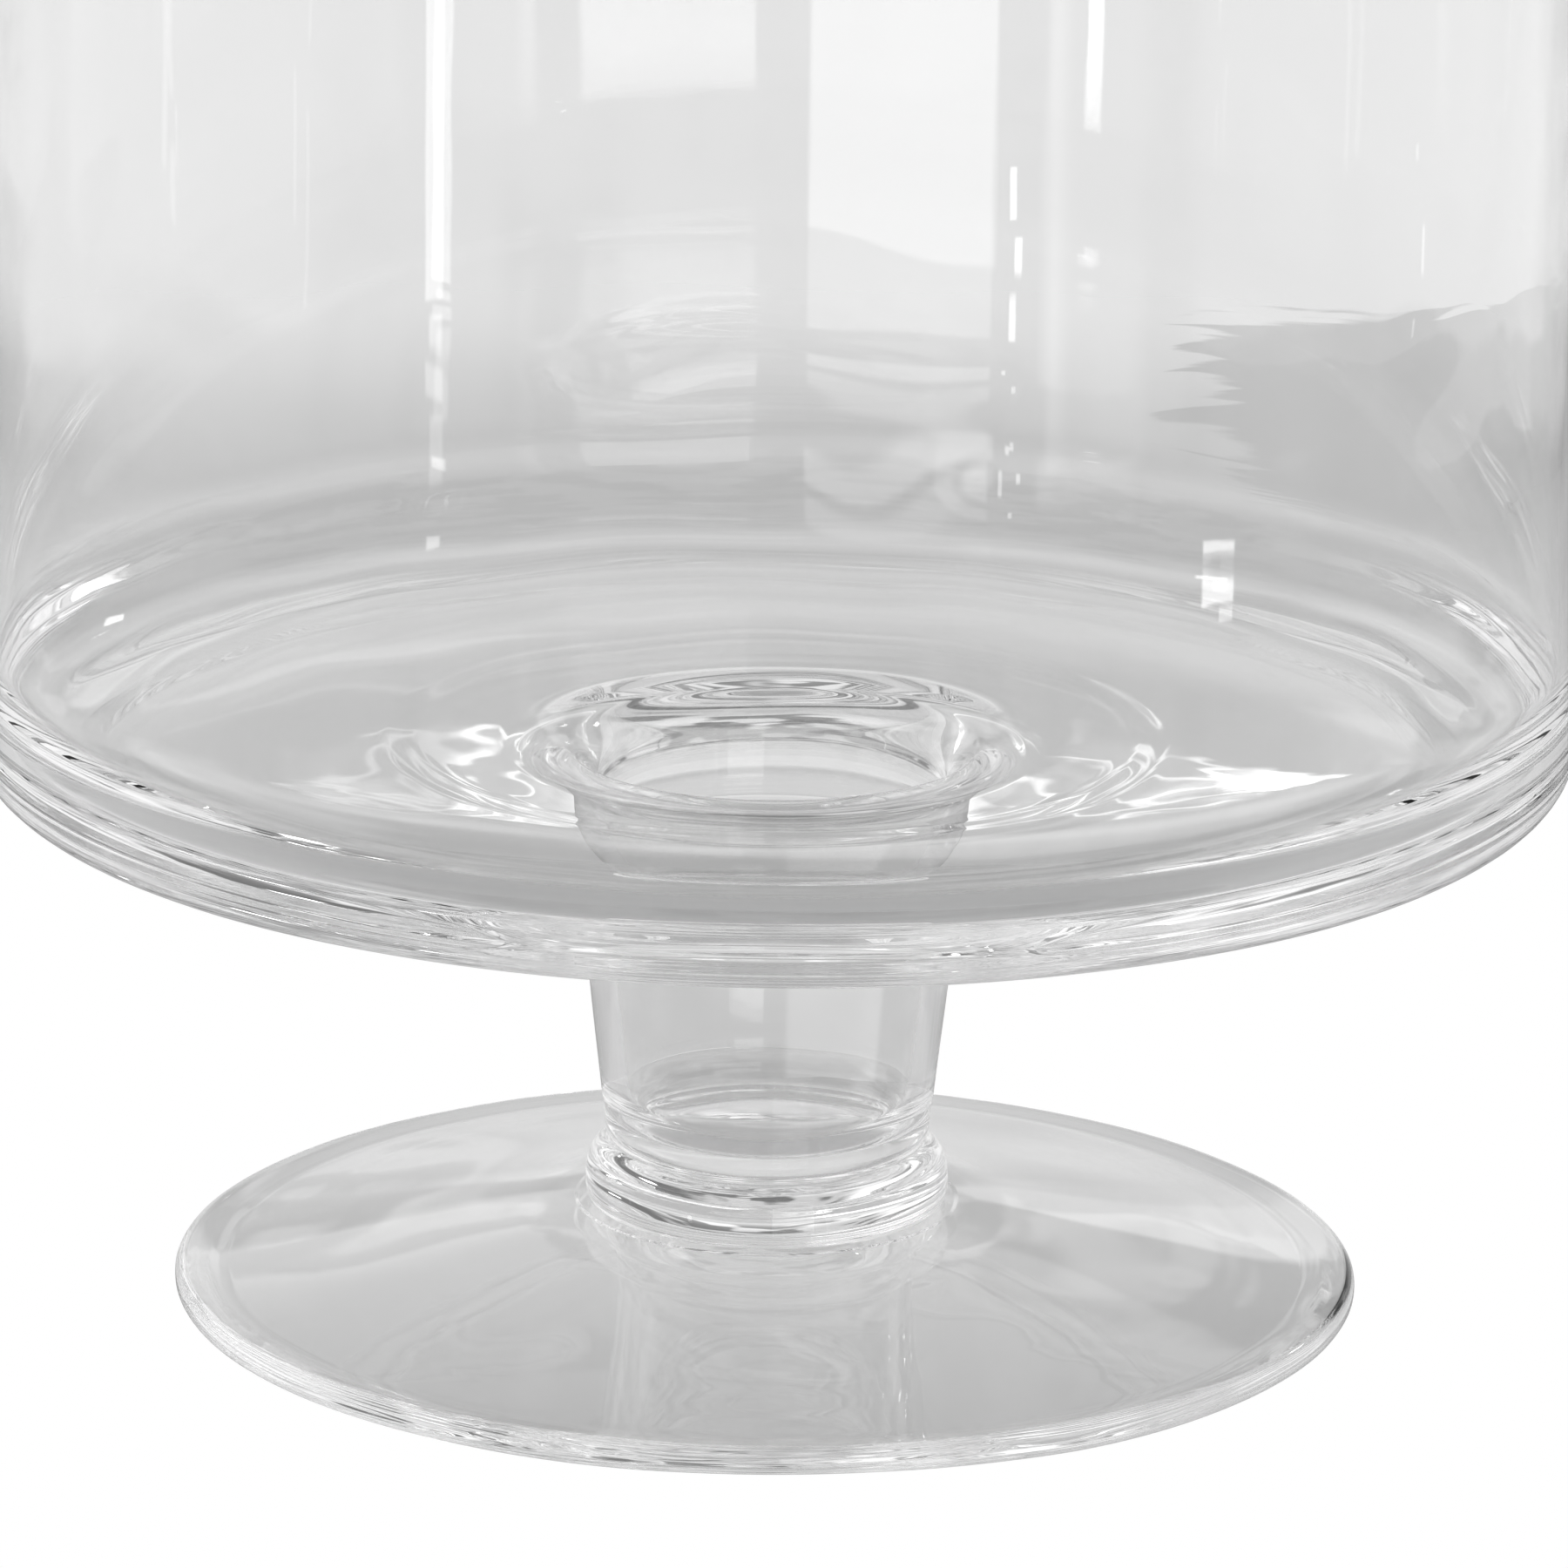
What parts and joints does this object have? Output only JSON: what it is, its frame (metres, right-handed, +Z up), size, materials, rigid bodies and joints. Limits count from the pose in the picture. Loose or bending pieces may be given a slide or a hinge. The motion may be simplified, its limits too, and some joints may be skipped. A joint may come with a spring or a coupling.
{
  "type": "footed glass bowl",
  "caption": "Clear glass bowl with straight round walls, a flat floor that opens into a hollow tapering stem, a solid collar and a wide sloping foot.",
  "frame": {"origin": "centre of the foot's underside, on the plane that the object stands on", "axes": "+Z up along the axis of the turned glass; X and Y are equivalent"},
  "size_m": [0.21, 0.21, 0.228],
  "materials": {
    "clear_glass": "clear colourless hand-worked glass, fire-polished, faintly wavy"
  },
  "bodies": {
    "root": {"bowl": "clear_glass", "stem": "clear_glass", "stem_collar": "clear_glass", "foot": "clear_glass"}
  },
  "joints": []
}
